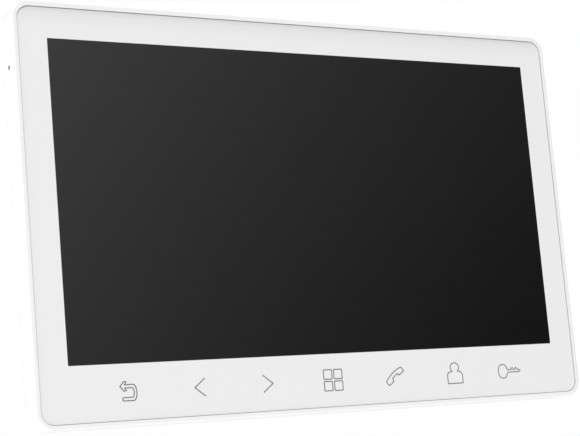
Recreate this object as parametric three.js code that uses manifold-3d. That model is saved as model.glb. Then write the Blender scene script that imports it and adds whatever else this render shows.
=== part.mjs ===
// Wall-mounted video intercom monitor with a 10.1-inch display, seven touch keys and a hook-on wall bracket.
//
// Everything is drawn in the panel's own frame, in millimetres: X to the viewer's right, Y up and Z out of
// the wall. The model's root turns that frame so that the wall is the plane y = 0 and +Z is up.

import * as THREE from 'three';
import { mergeVertices } from 'three/addons/utils/BufferGeometryUtils.js';
import Module from 'manifold-3d';

const wasm = await Module();
wasm.setup();

// ---------------------------------------------------------------- driving dimensions

const GAP = 0.3; // running and assembly gap between neighbouring pieces
const ROOT = 0.4; // how far a joined piece runs into its neighbour
const PAST = 1; // how far a cut runs past the face that it opens
const ARC_STEPS = 3; // half the segments in a quarter turn of an outline's corner
const ROUND_STEPS = 12; // segments round a hole or a screw
const FINE_STEPS = 32; // segments round the loudspeaker
const SLOT_STEPS = 1; // half the segments in a quarter turn of a small slot's end

const BODY = { width: 250, height: 163.5, corner: 7 };
const DEPTH = {
  front: 21.5, // face of the raised lip
  panel: 21.2, // face of the front sheet
  part: 17.6, // back edge of the front frame
  brim: 8, // back of the visible edge
  back: 1.5, // back of the raised centre, just clear of the bracket
};
const WALL = 2; // wall thickness of the rear cover
const PLATEAU = { width: 190, height: 112, corner: 8, slope: 8, shoulder: 12, thinning: 0.7 };

const OPENING = { width: 246, height: 159.6, corner: 5.15 }; // recess of the frame for the front sheet
const SHEET = { thickness: 1.5, corner: 5 };
const WINDOW = { width: 222.8, height: 125.5, top: 67.4 }; // display window in the sheet
const TAPE = { thickness: 0.3, inset: 0.6, corner: 4.6, margin: 2.6 };
const LEDGE = {
  front: DEPTH.panel - SHEET.thickness - 2 * GAP - TAPE.thickness,
  thickness: 1.2,
  margin: 1.8,
};
const TONGUE = { back: 15.5, thickness: 1.2 }; // ring of the frame that enters the rear cover
const POST = { near: 117.1, far: 122, half: 3.5 }; // screw posts down each side of the frame

const KEYS = {
  names: ['back', 'left', 'right', 'menu', 'talk', 'guard', 'unlock'],
  y: -68.4, pitch: 29.4, pad: 4.3, hole: 4.7, tapeHole: 4.9, padSteps: 24,
};
const KEY_BOARD = { half: 104, below: 8.4, above: 4.2, thickness: 1 };
const KEY_RIBBON = { left: -14, right: -2, thickness: 0.3, depth: 11.05 };

const LCD = { width: 233, bottom: -62.5, top: 75.5, back: 12, wall: 0.6, cell: 15.8 };
const DRIVER_BOARD = { half: 80, low: 10, high: 2, thickness: 1, clear: 0.4 };
const LCD_RIBBON = { left: -34, right: -10, overlap: 7, back: 10.9, thickness: 0.3 };
const LCD_BRACKET = { inner: 110, outer: 116.4, ear: 121.6, low: -30, high: 46, thickness: 0.6, hole: 1.3 };

const BOARD = { width: 125, height: 84, x: -22, y: 2, back: 8.7, thickness: 1.6, hole: 1.6 };
const BOARD_SCREWS = [[-80, -35], [36, -35], [-80, 39], [36, 39]];
const STANDOFF = { radius: 3, bore: 1.4, floor: 5 };
const PROCESSOR = { x: -22, y: 24, half: 8, back: 7.2 };
const HEAT_SINK = { half: 14, fins: 7, fin: 1.6, back: 3.8, base: 5.4, front: 6.9 };
const SHIELD = { left: 2, right: 30, low: 14, high: 36, back: 5.8 };
const CAPACITOR = { x: 32, y: 0, radius: 3.1, back: 4.2 };

const BAY = { x: -9, y: -25, width: 80, height: 16, corner: 2 };
const CONNECTOR = {
  width: 11, height: 6.4, pitch: 12.8, mouth: 2.4, wall: 0.8, floor: 1.4, key: 3.2, keyDepth: 2.4,
  pins: 4, pin: 0.7, recess: 0.8,
};
const CONNECTORS = ['door_connector_1', 'door_connector_2', 'camera_connector_1', 'camera_connector_2',
  'link_connector', 'power_connector'];

const HOOK = { x: 58, tops: [31, -25], width: 10, reach: 5, sheet: 1.2 };
const HOOK_WINDOW = { side: 0.5, above: 1.5, below: 0.2 }; // what the stamping takes round a hook
const SLOT = { width: 12, height: 7.5 };
const BRACKET = { y: -3, width: 132, height: 88, corner: 6 };
const WALL_HOLES = { x: 40, rows: [34, 2, -42.5], radius: 2.25 };
const CABLE_WINDOW = { x: 0, y: -25, width: 96, height: 26, corner: 4 };

const EDGE_X = 119.2; // line of the fixings down each side
const COVER_SCREW_ROWS = [-50, 8, 66];
const BRACKET_SCREW_ROWS = [-22, 38];
const COVER_RECESS = { radius: 2.7, depth: 1.2, bore: 1.4 };
const SCREWS = {
  cover: { head: 2.2, height: 1, edge: 0.4, shank: 1, length: 6.2, clear: 0.15, pilot: 1.3 },
  bracket: { head: 1.8, height: 0.7, edge: 0.2, shank: 0.8, length: 4.4, clear: 0.1, pilot: 1.1 },
  board: { head: 2.4, height: 1.2, edge: 0.5, shank: 1.1, length: 5, clear: 0.15 },
};

const SPEAKER = { x: 74.5, y: 3.7, radius: 18, front: 5.1, back: 10.4, gasket: 2.5 };
const SPEAKER_SLOTS = { each: 2, pitch: 5.4, width: 2.4, length: 27, step: 3 };
const SPEAKER_LEAD = {
  radius: 0.5, steps: 16,
  points: [[60.5, -10, 9.7], [56, -13, 10.6], [48, -13.5, 11.1], [40.5, -12, 11.15], [36, -10, 11.15]],
};
const VENTS = { count: 16, first: -64, pitch: 6.4, y: 47, width: 2.4, length: 10 };
const MICROPHONE = {
  y: 56.75, z: 14.9, radius: 1.6, length: 2.3, port: 1, sleeve: 0.5,
  face: -122.6, seat: -120.7, rear: -117.4, // levels of the boot along X
};
const MICROPHONE_POCKET = { left: -124, right: -120, half: 4.6, skin: 0.05 }; // its place in the tongue
const MICROPHONE_LEAD = {
  radius: 0.4, steps: 24, // its points have their y from the microphone's
  points: [[-119.6, -1, 11.4], [-118.4, -2, 10.75], [-113, -5, 10.6], [-105, -10, 10.6],
    [-96, -16, 10.75], [-88, -21, 11], [-80, -22.5, 11.15]],
};

const SIDE_CUT = { from: 122, to: 126 }; // how far the openings in a side wall are cut, along X
const CARD = { y: -70.5, z: 12.95, length: 15, width: 11, thickness: 0.7, recess: 0.6, overtravel: 0.8 };
const CARD_NOTCH = { end: 8, start: 7, depth: 1.3, nose: 0.8, tip: 2 };
const CARD_SOCKET = { left: 105.5, right: 121.7, slotEnd: 123, side: 1.1 };
const CARD_BOARD = { left: 100, right: 121.3, side: 1.3, thickness: 1 };
const SWITCH = { y: -5, z: 12.4, travel: 2 };
const SWITCH_BODY = { left: 117.5, right: 121.2, halfHeight: 4.3, halfDepth: 2 };
const KNOB_FOOT = { left: 121.5, right: 122.6, halfHeight: 2, halfDepth: 1.6 };
const KNOB_LEVER = { tip: 124.7, halfHeight: 1, halfDepth: 0.8 };
const LABEL = { width: 52, height: 12, corner: 1.5, y: -72.8, clear: 0.06, thickness: 0.12 };

// ---------------------------------------------------------------- materials

function finish(color, roughness, metalness = 0) {
  return new THREE.MeshStandardMaterial({ color, roughness, metalness });
}

const WHITE_PLASTIC = () => finish(0xf1f1f0, 0.45);
const WHITE_SHEET = () => finish(0xececeb, 0.2);
const BLACK_GLASS = () => finish(0x1d1f1f, 0.1);
const BLACK_PLASTIC = () => finish(0x1b1b1d, 0.55);
const IVORY_PLASTIC = () => finish(0xe8e3d3, 0.5);
const CLEAR_SILICONE = () => finish(0xe6e8ea, 0.6);
const STEEL = () => finish(0xb9bcbf, 0.4, 1);
const ALUMINIUM = () => finish(0xc9ccd0, 0.35, 1);
const CIRCUIT_BOARD = () => finish(0x1d5a38, 0.5);
const CHIP = () => finish(0x222326, 0.45);
const RIBBON = () => finish(0xa8702a, 0.4);
const RUBBER = () => finish(0x232323, 0.8);
const FOAM = () => finish(0x2b2b2d, 0.95);
const PAPER = () => finish(0xf4f4f2, 0.7);

// ---------------------------------------------------------------- shape helpers

/** Rounded rectangle centred on (x, y). */
function roundedRect(width, height, radius, x = 0, y = 0) {
  const [left, right] = [x - width / 2 + radius, x + width / 2 - radius];
  const [low, high] = [y - height / 2 + radius, y + height / 2 - radius];
  const shape = new THREE.Shape();
  shape.absarc(right, high, radius, 0, Math.PI / 2);
  shape.absarc(left, high, radius, Math.PI / 2, Math.PI);
  shape.absarc(left, low, radius, Math.PI, 1.5 * Math.PI);
  shape.absarc(right, low, radius, 1.5 * Math.PI, 2 * Math.PI);
  shape.closePath();
  return shape;
}

/** Square-cornered rectangle between two corners. */
function rect(x0, y0, x1, y1) {
  return polygon([[x0, y0], [x1, y0], [x1, y1], [x0, y1]]);
}

function polygon(points) {
  return new THREE.Shape(points.map(([x, y]) => new THREE.Vector2(x, y)));
}

/** A round outline or hole, drawn with straight segments. */
function circle(x, y, radius, steps = ROUND_STEPS) {
  const turn = (k) => (2 * Math.PI * k) / steps;
  return polygon([...Array(steps).keys()].map((k) => [
    x + radius * Math.cos(turn(k)), y + radius * Math.sin(turn(k)),
  ]));
}

/** A flat plate of the outline, with holes, from z0 to z1. */
function plate(shape, z0, z1, holes = [], curveSegments = ARC_STEPS) {
  shape.holes.push(...holes);
  const geometry = new THREE.ExtrudeGeometry(shape, { depth: z1 - z0, bevelEnabled: false, curveSegments });
  return geometry.translate(0, 0, z0);
}

function box(x0, x1, y0, y1, z0, z1) {
  const geometry = new THREE.BoxGeometry(x1 - x0, y1 - y0, z1 - z0);
  return geometry.translate((x0 + x1) / 2, (y0 + y1) / 2, (z0 + z1) / 2);
}

/** A round bar along Z. */
function bar(x, y, radius, z0, z1, steps = ROUND_STEPS) {
  const geometry = new THREE.CylinderGeometry(radius, radius, z1 - z0, steps).rotateX(Math.PI / 2);
  return geometry.translate(x, y, (z0 + z1) / 2);
}

/** A round bar along X. */
function crossBar(y, z, radius, x0, x1, steps = ROUND_STEPS) {
  const geometry = new THREE.CylinderGeometry(radius, radius, x1 - x0, steps).rotateZ(Math.PI / 2);
  return geometry.translate((x0 + x1) / 2, y, z);
}

/** A turned piece: its profile is [radius, z] pairs from the axis and back to it, placed at (x, y). */
function turned(profile, x, y, steps = ROUND_STEPS) {
  const points = profile.map(([radius, z]) => new THREE.Vector2(radius, z));
  return new THREE.LatheGeometry(points, steps).rotateX(Math.PI / 2).translate(x, y, 0);
}

/** The same about an axis along X: its profile is [radius, x] pairs, placed at (y, z). */
function turnedAcross(profile, y, z, steps = ROUND_STEPS) {
  const points = profile.map(([radius, x]) => new THREE.Vector2(radius, x));
  return new THREE.LatheGeometry(points, steps).rotateZ(-Math.PI / 2).translate(0, y, z);
}

/** A closed skin through rounded-rectangle rings, listed from the lowest z to the highest. */
function loft(rings) {
  const outline = ({ width, height, corner }) => {
    return roundedRect(width, height, corner).getPoints(ARC_STEPS).slice(0, -1);
  };
  const positions = [];
  const index = [];
  rings.forEach((ring) => outline(ring).forEach((point) => positions.push(point.x, point.y, ring.z)));
  const count = positions.length / 3 / rings.length;
  for (let level = 0; level < rings.length - 1; level += 1) {
    for (let k = 0; k < count; k += 1) {
      const [a, b] = [level * count + k, level * count + ((k + 1) % count)];
      index.push(a, b, b + count, a, b + count, a + count);
    }
  }
  const top = (rings.length - 1) * count;
  for (let k = 1; k < count - 1; k += 1) {
    index.push(0, k + 1, k);
    index.push(top, top + k, top + k + 1);
  }
  const geometry = new THREE.BufferGeometry();
  geometry.setAttribute('position', new THREE.Float32BufferAttribute(positions, 3));
  geometry.setIndex(index);
  return geometry;
}

/** A wire of the given radius along a smooth curve through the points. */
function wire(points, radius, steps) {
  const curve = new THREE.CatmullRomCurve3(points.map((point) => new THREE.Vector3(...point)));
  return new THREE.ExtrudeGeometry(circle(0, 0, radius, 8), { steps, extrudePath: curve });
}

/** A flat ribbon that runs along a route of [y, z] points, between x0 and x1. */
function ribbon(route, thickness, x0, x1) {
  const half = thickness / 2;
  const normals = route.map((point, k) => {
    const [before, after] = [route[Math.max(k - 1, 0)], route[Math.min(k + 1, route.length - 1)]];
    const run = new THREE.Vector2(after[0] - before[0], after[1] - before[1]).normalize();
    return [-run.y * half, run.x * half];
  });
  const side = (sign) => route.map(([y, z], k) => [y + sign * normals[k][0], z + sign * normals[k][1]]);
  const outline = polygon([...side(1), ...side(-1).reverse()]);
  const geometry = new THREE.ExtrudeGeometry(outline, { depth: x1 - x0, bevelEnabled: false });
  const axes = new THREE.Matrix4().makeBasis(
    new THREE.Vector3(0, 1, 0), new THREE.Vector3(0, 0, 1), new THREE.Vector3(1, 0, 0));
  return geometry.applyMatrix4(axes).translate(x0, 0, 0);
}

// ---------------------------------------------------------------- joins and cuts

function toSolid(geometry) {
  const bare = geometry.clone();
  bare.deleteAttribute('normal');
  bare.deleteAttribute('uv');
  const merged = mergeVertices(bare, 1e-4);
  return new wasm.Manifold(new wasm.Mesh({
    numProp: 3,
    vertProperties: new Float32Array(merged.attributes.position.array),
    triVerts: new Uint32Array(merged.index.array),
  }));
}

function toGeometry(solid) {
  const mesh = solid.getMesh();
  const geometry = new THREE.BufferGeometry();
  geometry.setAttribute('position', new THREE.Float32BufferAttribute(mesh.vertProperties, 3));
  geometry.setIndex(Array.from(mesh.triVerts));
  return geometry;
}

/** Joins every geometry in `parts`, then cuts every geometry in `cuts` out of the result. */
function carve(parts, cuts = []) {
  let solid = toSolid(parts[0]);
  parts.slice(1).forEach((part) => { solid = solid.add(toSolid(part)); });
  cuts.forEach((cut) => { solid = solid.subtract(toSolid(cut)); });
  return toGeometry(solid);
}

// ---------------------------------------------------------------- the model

const group = new THREE.Group();
const panel = new THREE.Group();
panel.rotation.x = Math.PI / 2;
group.add(panel);

function add(name, geometry, material) {
  const mesh = new THREE.Mesh(geometry, material);
  mesh.name = name;
  panel.add(mesh);
}

const windowBottom = WINDOW.top - WINDOW.height;
const panelBack = DEPTH.panel - SHEET.thickness;
const ledgeBack = LEDGE.front - LEDGE.thickness;
const coverInside = ringOf(0, WALL);
const keyPlaces = KEYS.names.map((name, k) => ({ name, x: (k - (KEYS.names.length - 1) / 2) * KEYS.pitch }));
const hookPlaces = HOOK.tops.flatMap((top) => [[-HOOK.x, top], [HOOK.x, top]]);
const boardLow = BOARD.y - BOARD.height / 2;
const boardHigh = BOARD.y + BOARD.height / 2;
const boardFront = BOARD.back + BOARD.thickness;
const partsBack = BOARD.back - GAP; // face that the parts on the board's back start from

/** Outline of the housing, drawn in by the inset, at one level. */
function ringOf(z, inset) {
  return { width: BODY.width - 2 * inset, height: BODY.height - 2 * inset, corner: BODY.corner - inset, z };
}

/** Rectangle round the display window with a margin. */
function roundWindow(margin) {
  const side = WINDOW.width / 2 + margin;
  return rect(-side, windowBottom - margin, side, WINDOW.top + margin);
}

/** The places on both sides of the housing, at the given rows. */
function onEdges(rows) {
  return [-1, 1].flatMap((side) => rows.map((y) => [side * EDGE_X, y]));
}

/** A screw whose head sits on the seat. It points away from the wall, or towards it with sign -1. */
function screw({ head, height, edge, shank, length }, x, y, seat, sign = 1) {
  const profile = [
    [0, -height], [head - edge, -height], [head, edge - height], [head, 0],
    [shank, 0], [shank, length], [0, length],
  ].map(([radius, along]) => [radius, seat + sign * along]);
  return turned(sign > 0 ? profile : profile.reverse(), x, y);
}

/** Hook-on wall bracket: a stamped steel sheet with two pairs of upturned hooks and a cable window. */
function wallBracket() {
  const { y, width, height, corner } = BRACKET;
  const sheet = plate(roundedRect(width, height, corner, 0, y), 0, HOOK.sheet);
  const cuts = [-1, 1].flatMap((side) => WALL_HOLES.rows.map((row) => {
    return bar(side * WALL_HOLES.x, row, WALL_HOLES.radius, -PAST, HOOK.sheet + PAST);
  }));
  const cables = CABLE_WINDOW;
  cuts.push(plate(roundedRect(cables.width, cables.height, cables.corner, cables.x, cables.y),
    -PAST, HOOK.sheet + PAST));
  const hooks = [];
  const tongue = DEPTH.back + WALL + GAP;
  hookPlaces.forEach(([x, top]) => {
    const [left, right] = [x - HOOK.width / 2, x + HOOK.width / 2];
    hooks.push(box(left, right, top - HOOK.sheet, top, HOOK.sheet / 2, tongue + HOOK.sheet));
    hooks.push(box(left, right, top - HOOK.sheet, top + HOOK.reach, tongue, tongue + HOOK.sheet));
    cuts.push(box(left - HOOK_WINDOW.side, right + HOOK_WINDOW.side,
      top, top + HOOK.reach + HOOK_WINDOW.above, -PAST, HOOK.sheet + HOOK_WINDOW.below));
  });
  add('wall_bracket', carve([sheet, ...hooks], cuts), STEEL());
}

/** White frame with the raised lip, the ledge behind the sheet, the tongue and the screw posts. */
function frontFrame() {
  const outer = loft([
    ringOf(DEPTH.part, 0.3), ringOf(DEPTH.part + 0.3, 0), ringOf(DEPTH.front - 1.2, 0),
    ringOf(DEPTH.front - 0.6, 0.17), ringOf(DEPTH.front - 0.17, 0.6), ringOf(DEPTH.front, 1.2),
  ]);
  const cuts = [
    plate(roundedRect(OPENING.width, OPENING.height, OPENING.corner), LEDGE.front, DEPTH.front + PAST),
    plate(roundWindow(LEDGE.margin), ledgeBack - PAST, LEDGE.front + PAST),
  ];
  const tongueRing = (inset) => roundedRect(
    coverInside.width - 2 * inset, coverInside.height - 2 * inset, coverInside.corner - inset);
  const tongue = plate(tongueRing(GAP), TONGUE.back, ledgeBack + ROOT, [tongueRing(GAP + TONGUE.thickness)]);
  const posts = [];
  const post = (x, y, back, bore) => {
    const [near, far] = [Math.sign(x) * POST.near, Math.sign(x) * POST.far].sort((a, b) => a - b);
    posts.push(box(near, far, y - POST.half, y + POST.half, back, ledgeBack + ROOT));
    cuts.push(bar(x, y, bore, back - PAST, ledgeBack - PAST));
  };
  onEdges(COVER_SCREW_ROWS).forEach(([x, y]) => post(x, y, DEPTH.brim + WALL + GAP, SCREWS.cover.pilot));
  onEdges(BRACKET_SCREW_ROWS).forEach(([x, y]) => post(x, y, LCD.back, SCREWS.bracket.pilot));
  keyPlaces.forEach(({ x }) => cuts.push(bar(x, KEYS.y, KEYS.hole, ledgeBack - PAST, LEDGE.front + PAST)));
  const pocket = MICROPHONE_POCKET;
  cuts.push(box(pocket.left, pocket.right, MICROPHONE.y - pocket.half, MICROPHONE.y + pocket.half,
    TONGUE.back - PAST, ledgeBack - pocket.skin));
  add('front_frame', carve([outer, tongue, ...posts], cuts), WHITE_PLASTIC());
}

/** The front sheet: its white border, its dark display window, and the tape that holds it to the ledge. */
function frontSheet() {
  const border = roundedRect(OPENING.width - 2 * GAP, OPENING.height - 2 * GAP, SHEET.corner);
  add('front_panel', plate(border, panelBack, DEPTH.panel, [roundWindow(GAP)]), WHITE_SHEET());
  add('display_window', plate(roundWindow(0), panelBack, DEPTH.panel), BLACK_GLASS());
  const tape = roundedRect(OPENING.width - 2 * TAPE.inset, OPENING.height - 2 * TAPE.inset, TAPE.corner);
  const holes = keyPlaces.map(({ x }) => circle(x, KEYS.y, KEYS.tapeHole));
  holes.push(roundWindow(TAPE.margin));
  const tapeBack = LEDGE.front + GAP;
  add('panel_tape', plate(tape, tapeBack, tapeBack + TAPE.thickness, holes), FOAM());
}

/** Display module: cell, backlight, steel tray, its driver board and the two side brackets. */
function displayModule() {
  const { bottom, top, back, wall, cell } = LCD;
  const half = LCD.width / 2;
  const layer = (z0, z1) => {
    const margin = wall + GAP;
    return box(margin - half, half - margin, bottom + margin, top - margin, z0, z1);
  };
  add('lcd_cell', layer(cell, ledgeBack - GAP), BLACK_GLASS());
  add('lcd_backlight', layer(back + wall + GAP, cell - GAP), CLEAR_SILICONE());
  const outside = box(-half, half, bottom, top, back, ledgeBack - 2 * GAP);
  const hollow = box(wall - half, half - wall, bottom + wall, top - wall, back + wall, ledgeBack);
  add('lcd_tray', carve([outside], [hollow]), STEEL());
  const driver = DRIVER_BOARD;
  add('lcd_driver_board', box(-driver.half, driver.half, top - driver.low, top - driver.high,
    back - driver.clear - driver.thickness, back - driver.clear), CIRCUIT_BOARD());
  const strip = LCD_RIBBON;
  add('lcd_ribbon', box(strip.left, strip.right, boardHigh - strip.overlap, top - driver.low - ROOT,
    strip.back, strip.back + strip.thickness), RIBBON());

  const { inner, outer, ear, low, high, thickness, hole } = LCD_BRACKET;
  const ears = BRACKET_SCREW_ROWS.flatMap((y) => [
    [outer, y - POST.half], [ear, y - POST.half], [ear, y + POST.half], [outer, y + POST.half],
  ]);
  const outline = [[inner, low], [outer, low], ...ears, [outer, high], [inner, high]];
  const bracketBack = back - GAP - thickness;
  [['left', -1], ['right', 1]].forEach(([name, side]) => {
    const shape = polygon(outline.map(([x, y]) => [side * x, y]));
    const holes = BRACKET_SCREW_ROWS.map((y) => circle(side * EDGE_X, y, hole));
    add(`lcd_bracket_${name}`, plate(shape, bracketBack, back - GAP, holes), STEEL());
  });
  onEdges(BRACKET_SCREW_ROWS).forEach(([x, y], k) => {
    add(`bracket_screw_${k + 1}`, screw(SCREWS.bracket, x, y, bracketBack - SCREWS.bracket.clear), STEEL());
  });
}

/** Touch keys: a sensor board behind the ledge and one clear pad behind each printed key. */
function touchKeys() {
  const face = ledgeBack - GAP;
  const { half, below, above, thickness } = KEY_BOARD;
  add('key_board', box(-half, half, KEYS.y - below, KEYS.y + above, face - thickness, face),
    CIRCUIT_BOARD());
  keyPlaces.forEach(({ name, x }) => {
    const pad = bar(x, KEYS.y, KEYS.pad, ledgeBack, panelBack - GAP, KEYS.padSteps);
    add(`key_pad_${name}`, pad, CLEAR_SILICONE());
  });
  const route = [
    [-73, face - 1.6], [-66.6, face - 1.6], [-65.2, face - 2.2], [-64.6, 14], [-64.4, 12.4], [-63.4, 11.3],
    [-61.6, KEY_RIBBON.depth], [boardLow + 4, KEY_RIBBON.depth],
  ];
  add('key_ribbon', ribbon(route, KEY_RIBBON.thickness, KEY_RIBBON.left, KEY_RIBBON.right), RIBBON());
}

/** Main board with its chips and the row of connectors that face the wall. */
function mainBoard() {
  const [left, right] = [BOARD.x - BOARD.width / 2, BOARD.x + BOARD.width / 2];
  const holes = BOARD_SCREWS.map(([x, y]) => circle(x, y, BOARD.hole));
  add('main_board', plate(rect(left, boardLow, right, boardHigh), BOARD.back, boardFront, holes),
    CIRCUIT_BOARD());
  const { x, y, half } = PROCESSOR;
  add('processor', box(x - half, x + half, y - half, y + half, PROCESSOR.back, partsBack), CHIP());
  const sink = HEAT_SINK;
  const [sinkLeft, sinkLow] = [x - sink.half, y - sink.half];
  const base = box(sinkLeft, x + sink.half, sinkLow, y + sink.half, sink.base, sink.front);
  const pitch = (2 * sink.half - sink.fin) / (sink.fins - 1);
  const fins = [...Array(sink.fins).keys()].map((k) => {
    const finLeft = sinkLeft + k * pitch;
    return box(finLeft, finLeft + sink.fin, sinkLow, y + sink.half, sink.back, sink.base + ROOT);
  });
  add('heat_sink', carve([base, ...fins]), ALUMINIUM());
  const can = SHIELD;
  add('shield_can', box(can.left, can.right, can.low, can.high, can.back, partsBack), STEEL());
  add('capacitor', bar(CAPACITOR.x, CAPACITOR.y, CAPACITOR.radius, CAPACITOR.back, partsBack), ALUMINIUM());
  CONNECTORS.forEach((name, k) => {
    const middle = BAY.x + (k - (CONNECTORS.length - 1) / 2) * CONNECTOR.pitch;
    add(name, connector(middle, BAY.y), IVORY_PLASTIC());
  });
  BOARD_SCREWS.forEach(([sx, sy], k) => {
    add(`board_screw_${k + 1}`, screw(SCREWS.board, sx, sy, boardFront + SCREWS.board.clear, -1), STEEL());
  });
}

/** Pin header: an open box round a row of pins, its mouth towards the wall. */
function connector(x, y) {
  const { mouth, wall, pins, pin, recess, keyDepth } = CONNECTOR;
  const [halfWidth, halfHeight, halfKey] = [CONNECTOR.width / 2, CONNECTOR.height / 2, CONNECTOR.key / 2];
  const floor = partsBack - CONNECTOR.floor;
  const shell = box(x - halfWidth, x + halfWidth, y - halfHeight, y + halfHeight, mouth, partsBack);
  const [reachX, reachY] = [halfWidth - wall, halfHeight - wall];
  const socket = box(x - reachX, x + reachX, y - reachY, y + reachY, mouth - PAST, floor);
  const key = box(x - halfKey, x + halfKey, y + reachY - ROOT, y + halfHeight + PAST,
    mouth - PAST, mouth + keyDepth);
  const pitch = 2 * reachX / pins;
  const prongs = [...Array(pins).keys()].map((k) => {
    const px = x + (k - (pins - 1) / 2) * pitch;
    return box(px - pin / 2, px + pin / 2, y - pin / 2, y + pin / 2, mouth + recess, floor + ROOT);
  });
  return carve([carve([shell], [socket, key]), ...prongs]);
}

/** Loudspeaker behind its slots, with its gasket, cone and lead. */
function loudspeaker() {
  const { x, y, radius, front, back, gasket } = SPEAKER;
  add('speaker_gasket', plate(circle(x, y, radius, FINE_STEPS), DEPTH.back + WALL + GAP, front - GAP,
    [circle(x, y, radius - gasket, FINE_STEPS)]), FOAM());
  add('speaker', turned([
    [0, 7.6], [7, 7.6], [13.6, 6.9], [15.4, front + 0.8], [15.4, front], [radius, front],
    [radius, front + 1], [15.6, 7.8], [9.5, 8.6], [9.5, back], [0, back],
  ], x, y, FINE_STEPS), STEEL());
  add('speaker_cone', turned([
    [0, 5.5], [5, 5.5], [6, 6.2], [13.2, front + 0.3], [14.9, front + 0.2], [14.9, front + 0.6],
    [13.2, front + 0.9], [6.6, 7.1], [0, 7.1],
  ], x, y, FINE_STEPS), BLACK_PLASTIC());
  add('speaker_lead', wire(SPEAKER_LEAD.points, SPEAKER_LEAD.radius, SPEAKER_LEAD.steps), BLACK_PLASTIC());
}

/** Microphone in its rubber boot at the left edge, with its lead. */
function microphone() {
  const { y, z, radius, length, port, face, seat, rear, sleeve } = MICROPHONE;
  const bore = radius + GAP;
  add('microphone_boot', turnedAcross([
    [port, face], [bore + sleeve, face], [bore + sleeve, rear], [bore, rear], [bore, seat], [port, seat],
    [port, face],
  ], y, z), RUBBER());
  add('microphone', crossBar(y, z, radius, seat + GAP, seat + GAP + length), ALUMINIUM());
  const route = MICROPHONE_LEAD.points.map(([px, dy, pz]) => [px, y + dy, pz]);
  add('microphone_lead', wire(route, MICROPHONE_LEAD.radius, MICROPHONE_LEAD.steps), BLACK_PLASTIC());
}

/** Memory card, its socket and the small board under it, at the lower right edge. */
function memoryCard() {
  const { y, z, width, thickness } = CARD;
  const outerEnd = BODY.width / 2 - CARD.recess;
  const innerEnd = outerEnd - CARD.length;
  const [low, high] = [y - width / 2, y + width / 2];
  const { end, start, depth, nose, tip } = CARD_NOTCH;
  const outline = polygon([
    [innerEnd, low], [outerEnd, low], [outerEnd, high], [innerEnd + end, high],
    [innerEnd + start, high - depth], [innerEnd + nose, high - depth], [innerEnd, high - tip],
  ]);
  add('memory_card', plate(outline, z - thickness / 2, z + thickness / 2), BLACK_PLASTIC());
  const room = GAP + thickness / 2;
  const socket = CARD_SOCKET;
  const shell = box(socket.left, socket.right, low - socket.side, high + socket.side,
    z - room - GAP, z + room + GAP);
  const slot = box(innerEnd - CARD.overtravel - GAP, socket.slotEnd, low - GAP, high + GAP,
    z - room, z + room);
  add('card_socket', carve([shell], [slot]), STEEL());
  const board = CARD_BOARD;
  const boardFace = z - room - 2 * GAP;
  add('card_board', box(board.left, board.right, low - board.side, high + board.side,
    boardFace - board.thickness, boardFace), CIRCUIT_BOARD());
}

/** Power switch in the right edge: a fixed body and the knob that slides down by its travel. */
function powerSwitch() {
  const { y, z, travel } = SWITCH;
  const block = (left, right, middle, { halfHeight, halfDepth }) => box(left, right,
    middle - halfHeight, middle + halfHeight, z - halfDepth, z + halfDepth);
  add('switch_body', block(SWITCH_BODY.left, SWITCH_BODY.right, y, SWITCH_BODY), BLACK_PLASTIC());
  const top = y + travel / 2;
  const foot = block(KNOB_FOOT.left, KNOB_FOOT.right, top, KNOB_FOOT);
  const lever = block(KNOB_FOOT.right - ROOT, KNOB_LEVER.tip, top, KNOB_LEVER);
  add('switch_knob', carve([foot, lever]), BLACK_PLASTIC());
}

/** Slots and holes of the rear cover, as solids to cut. */
function coverOpenings() {
  const [low, high] = [DEPTH.back - PAST, DEPTH.back + WALL + PAST];
  const slot = (width, length, x, y) => {
    return plate(roundedRect(width, length, width / 2, x, y), low, high, [], SLOT_STEPS);
  };
  const cuts = [plate(roundedRect(BAY.width, BAY.height, BAY.corner, BAY.x, BAY.y), low, high)];
  hookPlaces.forEach(([x, top]) => {
    cuts.push(box(x - SLOT.width / 2, x + SLOT.width / 2, top - SLOT.height, top + GAP, low, high));
  });
  for (let k = -SPEAKER_SLOTS.each; k <= SPEAKER_SLOTS.each; k += 1) {
    const { pitch, width, length, step } = SPEAKER_SLOTS;
    cuts.push(slot(width, length - step * Math.abs(k), SPEAKER.x + pitch * k, SPEAKER.y));
  }
  for (let k = 0; k < VENTS.count; k += 1) {
    cuts.push(slot(VENTS.width, VENTS.length, VENTS.first + VENTS.pitch * k, VENTS.y));
  }
  onEdges(COVER_SCREW_ROWS).forEach(([x, y]) => {
    cuts.push(bar(x, y, COVER_RECESS.radius, DEPTH.brim - PAST, DEPTH.brim + COVER_RECESS.depth));
    cuts.push(bar(x, y, COVER_RECESS.bore, DEPTH.brim - PAST, DEPTH.brim + WALL + PAST));
  });
  const { from, to } = SIDE_CUT;
  cuts.push(crossBar(MICROPHONE.y, MICROPHONE.z, MICROPHONE.port, -to, -from));
  const sideCut = (y, halfHeight, z, halfDepth) => box(from, to, y - halfHeight, y + halfHeight,
    z - halfDepth, z + halfDepth);
  cuts.push(sideCut(CARD.y, CARD.width / 2 + GAP, CARD.z, CARD.thickness / 2 + GAP));
  cuts.push(sideCut(SWITCH.y, SWITCH.travel / 2 + KNOB_LEVER.halfHeight + GAP, SWITCH.z,
    KNOB_LEVER.halfDepth + GAP));
  return cuts;
}

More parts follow.
